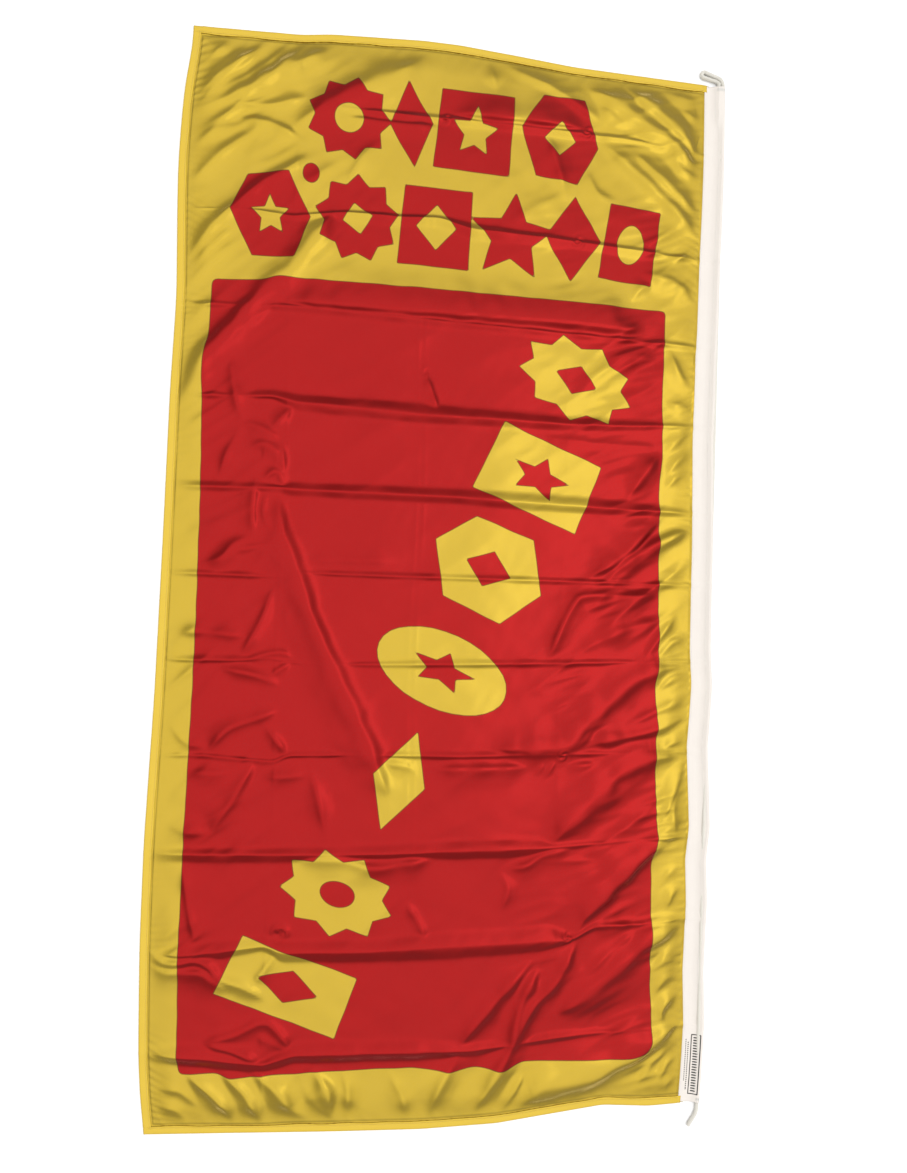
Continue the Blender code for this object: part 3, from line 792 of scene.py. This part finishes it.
def satin_material(name, printed, layers=1.0, shine=0.8):
    """Knitted satin polyester, yellow, with red ink where the ink attribute is below zero."""
    material, tree, shader = new_material(name, YELLOW[:3], 0.32)
    links = tree.links
    flat = add_node(tree, "ShaderNodeUVMap", (("uv_map", "flat"),)).outputs["UV"]
    cloudy = add_node(tree, "ShaderNodeTexNoise", Vector=flat, Scale=9.0, Detail=4.0, Roughness=0.6)
    speckle = add_node(tree, "ShaderNodeTexNoise", Vector=flat, Scale=900.0, Detail=2.0)
    yellow = mix_colour(tree, cloudy.outputs["Fac"], YELLOW, YELLOW_DEEP)
    colour = yellow
    if printed:
        red = mix_colour(tree, cloudy.outputs["Fac"], RED, RED_DEEP)
        ink = add_node(tree, "ShaderNodeAttribute", (("attribute_name", "ink"),)).outputs["Fac"]
        edge = calculate(tree, "MULTIPLY_ADD", speckle.outputs["Fac"], 0.8, ink)
        share = remap(tree, edge, 0.0, 1.0, 0.9, -0.1)
        colour = mix_colour(tree, share, yellow, red)
        rim = remap(tree, calculate(tree, "ABSOLUTE", ink), 0.5, 1.0, 0.3, 1.3)
        colour = scaled(tree, colour, rim)
        links.new(remap(tree, share, BARE_GLAZE, INKED_GLAZE), shader.inputs["Coat Weight"])
    threads = wave(tree, flat, WAVE_PERIOD / THREAD_SPACING, "X")
    courses = wave(tree, flat, WAVE_PERIOD / COURSE_SPACING, "Y")
    knit = calculate(tree, "MULTIPLY", threads, courses)
    shade = remap(tree, knit, 0.93 * layers, 1.05 * layers)
    links.new(scaled(tree, colour, shade), shader.inputs["Base Color"])
    crumple = add_node(tree, "ShaderNodeTexNoise", Vector=flat, Scale=42.0, Detail=3.0, Roughness=0.55)
    links.new(remap(tree, cloudy.outputs["Fac"], 0.17, 0.23), shader.inputs["Roughness"])
    normal = bump(tree, crumple.outputs["Fac"], 0.2, 0.001)
    normal = bump(tree, knit, 0.1, 0.0002, normal)
    links.new(normal, shader.inputs["Normal"])
    shader.inputs["Metallic"].default_value = shine
    shader.inputs["Specular IOR Level"].default_value = 0.22
    shader.inputs["Coat Weight"].default_value = BARE_GLAZE
    shader.inputs["Coat Roughness"].default_value = 0.26
    return material


def canvas_material():
    """Plain woven white canvas, with a plain printed frame and dashes."""
    material, tree, shader = new_material("heading_canvas", (0.82, 0.80, 0.77), 0.82)
    links = tree.links
    flat = add_node(tree, "ShaderNodeUVMap", (("uv_map", "flat"),)).outputs["UV"]
    blotch = add_node(tree, "ShaderNodeTexNoise", Vector=flat, Scale=14.0, Detail=5.0, Roughness=0.65)
    white = mix_colour(tree, blotch.outputs["Fac"], (0.87, 0.81, 0.745, 1), (0.82, 0.76, 0.70, 1))
    ink = add_node(tree, "ShaderNodeAttribute", (("attribute_name", "ink"),)).outputs["Fac"]
    colour = mix_colour(tree, remap(tree, ink, 0.0, 1.0, 0.25, -0.25), white, (0.03, 0.028, 0.028, 1))
    warp = wave(tree, flat, WAVE_PERIOD / CANVAS_YARN, "X")
    weft = wave(tree, flat, WAVE_PERIOD / CANVAS_YARN, "Y")
    weave = calculate(tree, "MULTIPLY", warp, weft)
    shade = mix_colour(tree, weave, (0.9, 0.9, 0.9, 1), (1, 1, 1, 1))
    links.new(mix_colour(tree, 1.0, colour, shade, "MULTIPLY"), shader.inputs["Base Color"])
    normal = bump(tree, blotch.outputs["Fac"], 0.3, 0.001)
    links.new(bump(tree, weave, 0.5, 0.0003, normal), shader.inputs["Normal"])
    shader.inputs["Specular IOR Level"].default_value = 0.25
    shader.inputs["Sheen Weight"].default_value = 0.2
    return material


def fibre_material(name, light, hollow_shade, fineness):
    """Spun or braided yarn: colour from the hollows' depth, a painted shade that darkens where the bump
    sinks, with fine fibres in the bump.
    """
    material, tree, shader = new_material(name, light, 0.75)
    links = tree.links
    place = add_node(tree, "ShaderNodeTexCoord").outputs["Object"]
    fibre = add_node(tree, "ShaderNodeTexNoise", Vector=place, Scale=fineness, Detail=4.0, Roughness=0.7)
    soil = add_node(tree, "ShaderNodeTexNoise", Vector=place, Scale=60.0, Detail=3.0)
    # Painted shade: the yarn takes its darker colour where the fibre noise sinks the bump into hollows.
    colour = mix_colour(tree, fibre.outputs["Fac"], (*hollow_shade, 1), (*light, 1))
    grime = mix_colour(tree, soil.outputs["Fac"], (0.86, 0.84, 0.8, 1), (1, 1, 1, 1))
    links.new(mix_colour(tree, 0.6, colour, grime, "MULTIPLY"), shader.inputs["Base Color"])
    links.new(bump(tree, fibre.outputs["Fac"], 0.5, 0.0002), shader.inputs["Normal"])
    shader.inputs["Sheen Weight"].default_value = 0.3
    return material


CLOTH = satin_material("printed_satin", printed=True)
HEM_CLOTH = satin_material("hem_satin", printed=False, layers=1.5, shine=0.2)
CANVAS = canvas_material()
ROPE_FIBRE = fibre_material("braided_rope", (0.84, 0.82, 0.76), (0.58, 0.55, 0.48), 1500.0)
GOLD_THREAD = fibre_material("yellow_thread", (0.78, 0.58, 0.08), (0.55, 0.38, 0.04), 2500.0)
WHITE_THREAD = fibre_material("white_thread", (0.88, 0.87, 0.84), (0.68, 0.66, 0.62), 2500.0)


def store_flat(piece, u, v):
    """UV map of the flat cloth in metres, so that weave keeps its real size."""
    layer = piece.data.uv_layers.new(name="flat")
    corners = np.empty(len(piece.data.loops), np.int32)
    piece.data.loops.foreach_get("vertex_index", corners)
    pairs = np.stack([u.ravel(), v.ravel()], axis=-1)[corners] * MM
    layer.data.foreach_set("uv", pairs.ravel().astype(np.float32))


def store_ink(piece, ink):
    layer = piece.data.attributes.new("ink", "FLOAT", "POINT")
    layer.data.foreach_set("value", ink.ravel().astype(np.float32))


# ------------------------------------------------------------------ rope ends

def rope_path(points, step=0.7):
    """A smooth curve through the points, in millimetres, read at even steps."""
    fine = soft_path(np.array(points, float))
    lengths = np.concatenate([[0], np.cumsum(np.linalg.norm(np.diff(fine, axis=0), axis=1))])
    places = np.linspace(0, lengths[-1], int(lengths[-1] / step))
    return np.stack([np.interp(places, lengths, fine[:, axis]) for axis in range(3)], axis=-1), places


def braided_rope(name, points, diameter, open_end):
    """A braided tube: strands run both ways round it and pass over and under each other."""
    line, places = rope_path(points)
    forward = np.gradient(line, axis=0)
    forward /= np.linalg.norm(forward, axis=1, keepdims=True)
    up = np.array([0.0, 0.0, 1.0])
    side = np.cross(forward, up)
    side /= np.linalg.norm(side, axis=1, keepdims=True)
    top = np.cross(side, forward)
    sides = 56
    strands = 7
    lay_length = diameter * 3.4
    angle = np.linspace(0, 2 * math.pi, sides, endpoint=False)[None, :]
    place = places[:, None]
    left = strands * angle / (2 * math.pi) + strands * place / lay_length
    right = strands * angle / (2 * math.pi) - strands * place / lay_length
    over = np.sin(math.pi * left) * np.sin(math.pi * right)
    yarn = np.where(over > 0, np.abs(np.cos(math.pi * left)), np.abs(np.cos(math.pi * right)))
    relief = 1.0 - 0.16 * yarn ** 2 - 0.05 * np.exp(-(over * 6) ** 2)
    radius = diameter / 2 * relief
    if open_end:
        left_over = places[-1] - place
        rounding = 0.86 + 0.14 * np.sqrt(np.clip(left_over / ROUNDED_END, 0, 1))
        radius = radius * np.where(left_over < ROUNDED_END, rounding, 1.0)
    rings = line[:, None, :] + radius[..., None] * (
        np.cos(angle)[..., None] * side[:, None, :] + np.sin(angle)[..., None] * top[:, None, :]
    )
    vertices, faces = tube(rings * MM)
    return new_piece(name, vertices, faces, ROPE_FIBRE)


ROPE_DIAMETER = 7.0
ROUNDED_END = 1.2
ROPE_X = (CORE_LOW[0] + CORE_HIGH[0]) / 2 / MM
ROPE_Z = (CORE_LOW[2] + CORE_HIGH[2]) / 2 / MM
LEG_SPACING = 7.3
MOUTH = HEADING_HALF + 0.3
LOOP_LEG_STEPS = (0, 6, 12, 18, 24, 30, 36, 42)
LOOP_TURN_START = 5.0
LOOP_TURN_RADIUS = 9.0
LOOP_TURN = math.radians(76)
EYE_WIDENING = 1.4
LOOP_LENGTH = 0.0994
TAIL_LENGTH = 0.0435
TAIL_ROUTE = ((0, 0, 0), (0.2, -7, -0.2), (-0.4, -14, -0.6), (-3.0, -21, -0.7), (-7.2, -27.5, -0.7),
              (-11.2, -33.5, -0.7), (-14.8, -39.5, -0.7))


def loop_middle(along):
    """Point and direction of the loop's middle line: straight out, then round towards the fly."""
    turned = min(max(along - LOOP_TURN_START, 0) / LOOP_TURN_RADIUS, LOOP_TURN)
    direction = math.radians(90) + turned
    rest = along - min(along, LOOP_TURN_START) - LOOP_TURN_RADIUS * turned
    x = LOOP_TURN_RADIUS * (math.cos(turned) - 1) + rest * math.cos(direction)
    y = min(along, LOOP_TURN_START) + LOOP_TURN_RADIUS * math.sin(turned) + rest * math.sin(direction)
    return np.array([x, y, 0.0]), direction


def loop_route():
    start = np.array([ROPE_X - LEG_SPACING / 2, MOUTH, ROPE_Z])
    outer_leg, inner_leg, bend = [], [], []
    for along in LOOP_LEG_STEPS:
        point, direction = loop_middle(along)
        across = np.array([math.sin(direction), -math.cos(direction), 0.0])
        half = LEG_SPACING / 2 + EYE_WIDENING * (along / LOOP_LEG_STEPS[-1]) ** 2
        settle = np.array([0, 0, -0.6 * min(1.0, along / 12)])
        outer_leg.append(start + point + across * half + settle)
        inner_leg.append(start + point - across * half + settle)
    end, direction = loop_middle(LOOP_LEG_STEPS[-1])
    across = np.array([math.sin(direction), -math.cos(direction), 0.0])
    onward = np.array([math.cos(direction), math.sin(direction), 0.0])
    half = LEG_SPACING / 2 + EYE_WIDENING
    for degrees in range(30, 151, 30):
        angle = math.radians(degrees)
        offset = half * (across * math.cos(angle) + onward * math.sin(angle))
        bend.append(start + end + offset + np.array([0, 0, -0.6]))
    return outer_leg + bend + inner_leg[::-1]


def tail_route():
    return [np.array([ROPE_X, -MOUTH, ROPE_Z]) + np.array(point) for point in TAIL_ROUTE]


def make_rope_ends():
    for name, route, length, far_end in (
        ("rope_loop_braid", loop_route(), LOOP_LENGTH, "object"),
        ("rope_tail_braid", tail_route(), TAIL_LENGTH, "bare"),
    ):
        piece = braided_rope(name, route, ROPE_DIAMETER - 0.2, open_end=far_end == "bare")
        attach(piece, "heading")
        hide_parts("rope_loop" if far_end == "object" else "rope_tail")


make_rope_ends()


# ------------------------------------------------------------------ cloth

def graded(start, end, spacing, fine, reach):
    """Places from start to end, closer together within reach of both ends."""
    count = int((end - start - 2 * reach) / spacing)
    ends = np.arange(0, reach, fine)
    middle = np.linspace(start + reach, end - reach, count + 1)
    return np.unique(np.concatenate([start + ends, middle, end - ends]))


def section_rows(steps=52, gathering=0.72):
    """Places along the cloth, drawn together at each crease."""
    rows = []
    t = np.arange(steps) / steps
    part = t * (1 - gathering) + t * t * (3 - 2 * t) * gathering
    for low, high in zip(ROW_PLACES, ROW_PLACES[1:]):
        rows.append(low + (high - low) * part)
    return np.append(np.concatenate(rows), HALF)


def make_cloth():
    across = graded(FLY + 0.4, SEAM + SEAM_ALLOWANCE, 2.6, 1.3, 36)
    along = section_rows()
    u, v = np.meshgrid(across, along)
    points = surface(u, v)
    cloth = new_piece("satin_cloth", points.reshape(-1, 3), grid_faces(*u.shape), CLOTH)
    store_flat(cloth, u, v)
    x, y = lay(u, v)
    store_ink(cloth, red_ink(x, y))
    return cloth


HEM_SECTION = ((-0.7, 0.1), (-0.5, 0.8), (0.4, 1.25), (2.5, 1.3), (6.0, 1.25), (9.6, 1.05), (11.2, 1.2),
               (11.9, 1.0), (12.1, 0.6), (11.5, 0.2), (6.0, -0.1), (1.0, -0.35), (-0.4, -0.3))
HEM_THREAD = 0.5
HEM_THREAD_LIFT = 1.25
END_STITCHES = 290
LONG_STITCHES = 590


def hem_strip(name, place, run):
    """A turned hem: a flat closed sleeve round the cloth's edge, a little scalloped by its stitches."""
    inset = np.array([point[0] for point in HEM_SECTION])[None, :]
    lift = np.array([point[1] for point in HEM_SECTION])[None, :]
    run = run[:, None]
    free_edge = np.clip(inset / HEM, 0, 1) ** 3
    scallop = 0.35 * ripples(run, run * 0, 11, 0, 4, 31) * free_edge * (inset > HEM_ROW)
    wander = 0.55 * ripples(run, run * 0, 70, 0, 4, 32) * free_edge
    u, v = place(inset + wander, run + inset * 0)
    lift = lift + np.where(lift > 0.9, scallop, 0) + inset * 0 + run * 0
    strip_vertices, faces = tube(surface(u, v, lift))
    piece = new_piece(name, strip_vertices, faces, HEM_CLOTH)
    ends = np.array([[u[0].mean(), u[-1].mean()], [v[0].mean(), v[-1].mean()]])
    store_flat(piece, np.append(u.ravel(), ends[0]), np.append(v.ravel(), ends[1]))
    return piece


def stitches(name, start_to_end, count, lift, thickness, material, seed):
    """A row of separate lockstitches: short flattened threads that dip into the cloth at both ends."""
    draw = np.random.default_rng(seed)
    angle = np.linspace(0, 2 * math.pi, 6, endpoint=False)
    stations = np.array([-0.5, -0.38, 0.0, 0.38, 0.5])
    heights = np.array([-0.35, 0.12, 0.3, 0.12, -0.35])
    widths = np.array([0.35, 0.9, 1.0, 0.9, 0.35])
    middle = np.arange(count) + 0.5
    spots = (middle[:, None] + stations[None, :] * 0.86) / count
    points = start_to_end(spots, draw.normal(0, 0.09, (count, 1)))
    along = points[:, -1] - points[:, 0]
    along /= np.linalg.norm(along, axis=1, keepdims=True)
    side = np.stack([-along[:, 1], along[:, 0], along[:, 0] * 0], axis=-1)
    base = points + np.array([0, 0, 1.0]) * ((lift + heights) * MM)[None, :, None]
    reach = (thickness / 2 * widths * MM)[None, :, None, None]
    across = np.cos(angle)[None, None, :, None] * side[:, None, None, :]
    up = np.sin(angle)[None, None, :, None] * np.array([0, 0, 0.7])
    rings = base[:, :, None, :] + reach * (across + up)
    return joined(name, [tube(ring) for ring in rings], material)


def on_cloth(piece):
    """The piece's placement, baked into its mesh."""
    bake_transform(piece)


def make_banner():
    cloth = make_cloth()
    run_across = graded(FLY - 0.3, SEAM + 4, 2.6, 1.5, 30)
    run_along = section_rows(60, 0.5)
    hems = {
        "fly": hem_strip("fly_hem", lambda inset, run: (FLY + inset, run), run_along),
        "top": hem_strip("top_hem", lambda inset, run: (run, HALF - inset), run_across),
        "bottom": hem_strip("bottom_hem", lambda inset, run: (run, inset - HALF), run_across),
    }
    span = SEAM - FLY - 6

    def end_row(side):
        def row(share, off):
            return surface(FLY + 4 + share * span, side * (HALF - HEM_ROW) + off + share * 0)
        return row

    def fly_row(share, off):
        return surface(FLY + HEM_ROW + off + share * 0, (2 * share - 1) * (HALF - 6))

    rows = {}
    for side, row, count, seed in (
        ("top", end_row(1), END_STITCHES, 51),
        ("bottom", end_row(-1), END_STITCHES, 52),
        ("fly", fly_row, LONG_STITCHES, 53),
    ):
        name = f"{side}_hem_stitches"
        rows[side] = stitches(name, row, count, HEM_THREAD_LIFT, HEM_THREAD, GOLD_THREAD, seed)
    for side, row in rows.items():
        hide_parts(f"{side}_hem_thread")
    for piece in (cloth, hems["top"], hems["bottom"], rows["top"], rows["bottom"]):
        on_cloth(piece)
    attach(hems["fly"], "banner")
    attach(rows["fly"], "banner")
    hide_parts("flag_cloth")


make_banner()


# ------------------------------------------------------------------ heading

TUNNEL_WALL = 4.15
DOUBLE_END = 50.0
TAPER = 30.0
SEAM_ROW = 2.6
FLAP_TOP = 1.75
LABEL_FRAME = ((16.6, -787.0), (31.0, -885.0))
# The label's dashes: (inset of their left end, length, thickness, first place, last place, spacing).
LABEL_DASHES = ((20.0, 7.6, 2.2, -792.0, -880.0, 4.4), (10.4, 2.0, 2.0, -800.0, -877.0, 3.4),
                (6.2, 1.8, 1.8, -795.0, -862.0, 3.1))
HEADING_COLUMNS = 92


def heading_rows():
    """Places along the heading, closer at its creases and closest across the printed label."""
    (_, high), (_, low) = LABEL_FRAME
    places = section_rows(26, 0.8)
    places = places[(np.abs(places) < HEADING_HALF) & ((places < low - 4) | (places > high + 4))]
    label = np.arange(low - 3, high + 3, 0.7)
    return np.sort(np.concatenate([[-HEADING_HALF], places, label, [HEADING_HALF]]))


def flap_profile(extra):
    """Top of the canvas from the seam to where it goes round the rope: flat, then climbing."""
    rope_at = ROPE_X - SEAM
    left_at = rope_at - extra
    lean = math.radians(112)
    touch = (left_at + TUNNEL_WALL * math.cos(lean), ROPE_Z + TUNNEL_WALL * math.sin(lean))
    base = touch[0] - 16.0
    rise = touch[1] - FLAP_TOP
    flat = [(0.0, 0.9), (0.25, 1.45), (1.0, FLAP_TOP), (1.9, 1.65), (SEAM_ROW, 1.5), (3.4, 1.68)]
    flat.append((4.6, FLAP_TOP))
    climb = [(base + 16.0 * step / 14, FLAP_TOP + rise * (step / 14) ** 1.7) for step in range(15)]
    return flat + climb


def heading_section(extra):
    """Closed outline of the folded canvas, from the seam edge over the top and back below."""
    rope_at = ROPE_X - SEAM
    top = flap_profile(extra)
    arc = [(rope_at - extra, 104)] + [(rope_at, angle) for angle in range(90, -91, -15)]
    for centre, degrees in arc:
        across = math.cos(math.radians(degrees))
        up = math.sin(math.radians(degrees))
        top.append((centre + TUNNEL_WALL * across, ROPE_Z + TUNNEL_WALL * up))
    under = [(rope_at - 5, 0.12), (18.0, 0.1), (9.0, 0.1), (2.0, 0.12), (0.3, 0.3)]
    return resampled(np.array(top + under))


def resampled(outline):
    """The closed outline with HEADING_COLUMNS evenly spaced points."""
    closed = np.vstack([outline, outline[:1]])
    run = np.concatenate([[0.0], np.cumsum(np.hypot(*np.diff(closed, axis=0).T))])
    even = np.linspace(0, run[-1], HEADING_COLUMNS, endpoint=False)
    return np.stack([np.interp(even, run, closed[:, 0]), np.interp(even, run, closed[:, 1])], axis=1)


def rounded_box_distance(x, y, low_x, high_y, high_x, low_y):
    off_x = np.abs(x - (low_x + high_x) / 2) - (high_x - low_x) / 2
    off_y = np.abs(y - (low_y + high_y) / 2) - (high_y - low_y) / 2
    outside = np.hypot(np.clip(off_x, 0, None), np.clip(off_y, 0, None))
    return outside + np.minimum(np.maximum(off_x, off_y), 0)


def label_ink(inset, v):
    """Distance to a plain frame and plain dashes, negative on them."""
    (left, high), (right, low) = LABEL_FRAME
    ink = np.abs(rounded_box_distance(inset, v, left, high, right, low)) - 0.85
    for start, length, thickness, first, last, spacing in LABEL_DASHES:
        step = np.clip(np.round((v - first) / -spacing), 0, (first - last) / spacing)
        middle = first - spacing * step
        head, foot = middle + thickness / 2, middle - thickness / 2
        dash = rounded_box_distance(inset, v, start, head, start + length, foot)
        ink = np.minimum(ink, dash)
    return ink


def heading_points(inset, z, v):
    """Lay a point of the heading on the floor: it sways, and kinks up at each storage crease."""
    x, y = lay(np.full_like(inset, SEAM), v)
    x = x + inset
    buckle = 0.25 * ripples(inset, v, 34, 70, 30, 61) * fade(inset, 0, 6) * (1 - fade(inset, 22, 27))
    lift = np.interp(v, HEADING_PLACES, HEADING_LIFTS) + np.where(z > 1.0, buckle, 0)
    return np.stack([x, y, z + lift], axis=-1) * MM


def make_heading():
    places = heading_rows()
    narrow, wide = heading_section(0.0), heading_section(LEG_SPACING)
    width_share = fade(places, HEADING_HALF - DOUBLE_END - TAPER, HEADING_HALF - DOUBLE_END)[:, None, None]
    section = narrow[None] * (1 - width_share) + wide[None] * width_share
    inset, z = section[..., 0], section[..., 1]
    v = np.repeat(places[:, None], section.shape[1], axis=1)
    points = heading_points(inset, z, v)
    loop_length = np.cumsum(np.hypot(*np.diff(narrow, axis=0, prepend=narrow[:1]).T))
    rows, columns = inset.shape
    faces = grid_faces(rows, columns, closed=True)
    heading = new_piece("heading_canvas", points.reshape(-1, 3), faces, CANVAS)
    store_flat(heading, np.repeat(loop_length[None], rows, axis=0), v)
    is_top = np.arange(columns)[None] < np.argmax(narrow[:, 0])
    store_ink(heading, np.where(is_top, label_ink(inset, v), INK_REACH))
    wall = heading.modifiers.new("canvas_thickness", "SOLIDIFY")
    wall.thickness = 0.35 * MM
    wall.offset = -1.0
    return heading


def make_heading_rows():
    def seam_row(share, off):
        v = (2 * share - 1) * (HEADING_HALF - 3)
        return heading_points(SEAM_ROW + off + share * 0, share * 0 + 1.3, v)

    def tunnel_row(share, off):
        v = (2 * share - 1) * (HEADING_HALF - 3)
        wide = fade(v, HEADING_HALF - DOUBLE_END - TAPER, HEADING_HALF - DOUBLE_END)
        row = ROPE_X - SEAM - TUNNEL_WALL - 2.4
        profile = np.array(flap_profile(0.0))
        height = np.interp(row, profile[:, 0], profile[:, 1])
        return heading_points(row - LEG_SPACING * wide + off, share * 0 + height - 0.15, v)

    return {
        "seam_thread": stitches("seam_stitches", seam_row, LONG_STITCHES, 0.2, 0.6, WHITE_THREAD, 54),
        "tunnel_thread": stitches("tunnel_stitches", tunnel_row, LONG_STITCHES, 0.2, 0.6, WHITE_THREAD, 55),
    }


def bar_tack(name, middle, extra):
    """Threads laid side by side across the tunnel, following the canvas over the rope."""
    strands = 9
    tubes = []
    rope_at = ROPE_X - SEAM
    left_at = rope_at - extra
    angle = np.linspace(0, 2 * math.pi, 6, endpoint=False)
    for strand in range(strands):
        v = middle + (strand - (strands - 1) / 2) * 0.5
        arc = [(left_at, a) for a in range(165, 90, -15)] + [(rope_at, a) for a in range(90, 14, -15)]
        inset = np.array([centre + (TUNNEL_WALL + 0.2) * math.cos(math.radians(a)) for centre, a in arc])
        z = np.array([ROPE_Z + (TUNNEL_WALL + 0.2) * math.sin(math.radians(a)) for _, a in arc])
        zigzag = 0.16 * (-1) ** (np.arange(len(arc)) + strand)
        line = heading_points(inset, z, np.full(len(arc), v) + zigzag)
        out = np.stack([np.cos(np.radians([a for _, a in arc])), np.zeros(len(arc)),
                        np.sin(np.radians([a for _, a in arc]))], axis=-1)
        lengthways = np.array([0.0, 1.0, 0.0])
        rings = line[:, None, :] + 0.27 * MM * (
            np.cos(angle)[None, :, None] * lengthways + np.sin(angle)[None, :, None] * out[:, None, :]
        )
        tubes.append(tube(rings))
    return joined(name, tubes, WHITE_THREAD)


def dress(piece, body, slot, *nodes):
    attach(piece, body)
    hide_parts(*nodes)


def make_hoist():
    dress(make_heading(), "heading", "heading_canvas", "heading_tape")
    for node, piece in make_heading_rows().items():
        dress(piece, "heading", "heading_thread", node)
    tack_at = HEADING_HALF - 6.0
    dress(bar_tack("top_tack_threads", tack_at, LEG_SPACING), "heading", "heading_thread", "top_tack")
    dress(bar_tack("bottom_tack_threads", -tack_at, 0.0), "heading", "heading_thread", "bottom_tack")
    for node in ("hoist_rope", "rope_return_end"):
        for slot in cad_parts[node].material_slots:
            slot.material = ROPE_FIBRE


make_hoist()


# ------------------------------------------------------------------ floor and light

# The ceiling's brightness at angles from its middle, in degrees, which leans towards the heading.
CEILING_LEAN = 5.0
CEILING = ((90, 0.24), (68, 0.30), (54, 0.44), (44, 0.90), (35, 1.60), (24, 1.50), (13, 1.04), (0, 0.92))


def make_stage():
    bpy.ops.mesh.primitive_plane_add(size=9.0, location=(0, 0, 0))
    floor = bpy.context.object
    floor.name = "floor"
    material, _, shader = new_material("floor_white", (0.93, 0.93, 0.93), 0.6)
    shader.inputs["Specular IOR Level"].default_value = 0.2
    floor.data.materials.append(material)


def make_light():
    """Dark walls under a bright ceiling, brightest in a ring round its middle, and one soft box."""
    world = bpy.data.worlds.new("studio")
    bpy.context.scene.world = world
    world.use_nodes = True
    tree = world.node_tree
    background = tree.nodes["Background"]
    direction = add_node(tree, "ShaderNodeTexCoord").outputs["Generated"]
    lean = math.radians(CEILING_LEAN)
    height = tree.nodes.new("ShaderNodeVectorMath")
    height.operation = "DOT_PRODUCT"
    tree.links.new(direction, height.inputs[0])
    height.inputs[1].default_value = (math.sin(lean), 0.0, math.cos(lean))
    ramp = add_node(tree, "ShaderNodeValToRGB", Fac=height.outputs["Value"])
    ramp.color_ramp.interpolation = "EASE"
    ramp.color_ramp.elements.remove(ramp.color_ramp.elements[1])
    for index, (degrees, level) in enumerate(CEILING):
        element = ramp.color_ramp.elements[0] if index == 0 else ramp.color_ramp.elements.new(0.5)
        element.position = max(0.0, math.cos(math.radians(degrees)))
        element.color = (level, level, level, 1)
    tree.links.new(ramp.outputs["Color"], background.inputs["Color"])
    background.inputs["Strength"].default_value = 2.0
    lamp = bpy.data.lights.new("soft_box", "AREA")
    lamp.shape = "RECTANGLE"
    lamp.size = 1.0
    lamp.size_y = 2.2
    lamp.energy = 5.0
    box = bpy.data.objects.new("soft_box", lamp)
    box.location = (1.1, 0.0, 2.4)
    box.rotation_euler = (0, math.radians(22), 0)
    bpy.context.scene.collection.objects.link(box)


make_stage()
make_light()
